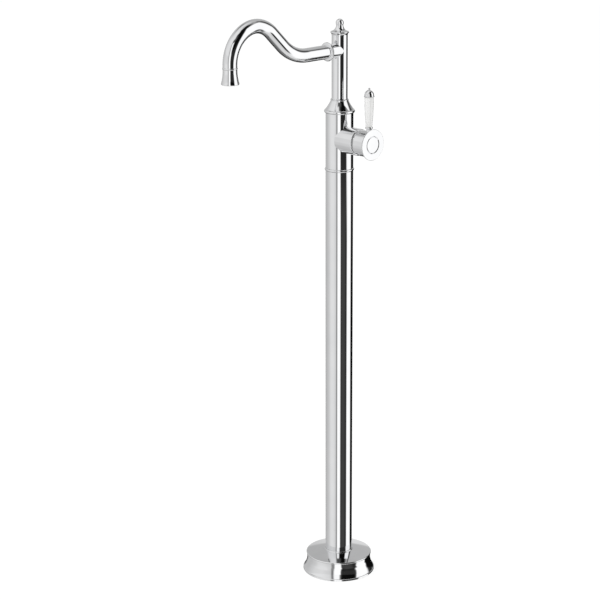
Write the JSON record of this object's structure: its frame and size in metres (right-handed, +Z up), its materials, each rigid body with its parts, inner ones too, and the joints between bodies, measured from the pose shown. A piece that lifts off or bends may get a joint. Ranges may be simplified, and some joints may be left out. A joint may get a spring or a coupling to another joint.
{
  "type": "floor standing bath filler",
  "caption": "Floor standing bath filler: a tall round column on a flared round base, a side branch with a single lever handle, and a swivelling swan-neck spout with a flared outlet.",
  "frame": {"origin": "on the floor at the axis of the column, which is the middle of the circle of the floor bolts", "axes": "+Z up along the column, the spout points along -Y at rest, the branch and its handle along +X"},
  "size_m": [0.1276, 0.29, 0.9043],
  "materials": {
    "chrome": "polished",
    "brass": "machined",
    "steel_pipe": "drawn",
    "stainless": "turned",
    "rubber": "matt",
    "bearing_plastic": "matt",
    "cartridge_plastic": "moulded",
    "disc_ceramic": "lapped",
    "porcelain": "glazed"
  },
  "bodies": {
    "stand": {"base_cover": "chrome", "cartridge_base": "cartridge_plastic", "cartridge_dome": "chrome", "cartridge_housing": "cartridge_plastic", "cartridge_nut": "brass", "cold_supply_pipe": "steel_pipe", "column_screws": "stainless", "column_tube": "chrome", "cover_seal": "rubber", "fixed_ceramic_disc": "disc_ceramic", "floor_plate": "brass", "hot_supply_pipe": "steel_pipe", "joint_ring": "chrome", "mixer_body": "chrome", "pipe_nuts": "brass", "port_seals": "rubber", "shoulder_bonnet": "chrome", "swivel_bush": "bearing_plastic", "thrust_washer": "bearing_plastic"},
    "temperature_carrier": {"cartridge_carrier": "cartridge_plastic", "pivot_pin": "stainless"},
    "valve_disc": {"disc_driver": "brass", "moving_ceramic_disc": "disc_ceramic"},
    "handle": {"cartridge_stem": "stainless", "handle_hub": "chrome", "hub_face": "chrome", "index_button": "chrome", "hub_grub_screw": "stainless", "lever_neck": "chrome", "lever_rod": "stainless", "grip_washers": "bearing_plastic", "lever_grip": "porcelain", "lever_tip": "chrome"},
    "spout": {"riser_tube": "chrome", "riser_seals": "rubber", "finial": "chrome", "finial_seal": "rubber", "spout_collar": "chrome", "stub_seal": "rubber", "spout_tube": "chrome", "outlet_ring": "chrome", "outlet_bell": "chrome", "aerator_washer": "rubber", "aerator_insert": "cartridge_plastic"}
  },
  "joints": [
    {"name": "spout_swivel", "type": "hinge", "parent": "stand", "child": "spout", "pos_m": [0, 0, 0], "axis": [0, 0, 1], "continuous": true},
    {"name": "temperature_turn", "type": "hinge", "parent": "stand", "child": "temperature_carrier", "pos_m": [0, 0, 0.706], "axis": [1, 0, 0], "range_deg": [-45, 45]},
    {"name": "flow_tilt", "type": "hinge", "parent": "temperature_carrier", "child": "handle", "pos_m": [0.033, 0, 0.706], "axis": [0, 1, 0], "range_deg": [0, 20]},
    {"name": "disc_slide", "type": "slide", "parent": "temperature_carrier", "child": "valve_disc", "axis": [0, 0, 1], "range_m": [0, 0.0034]}
  ],
  "couplings": [
    {"joint": "disc_slide", "follows": "flow_tilt", "m_per_rad": 0.0095}
  ]
}
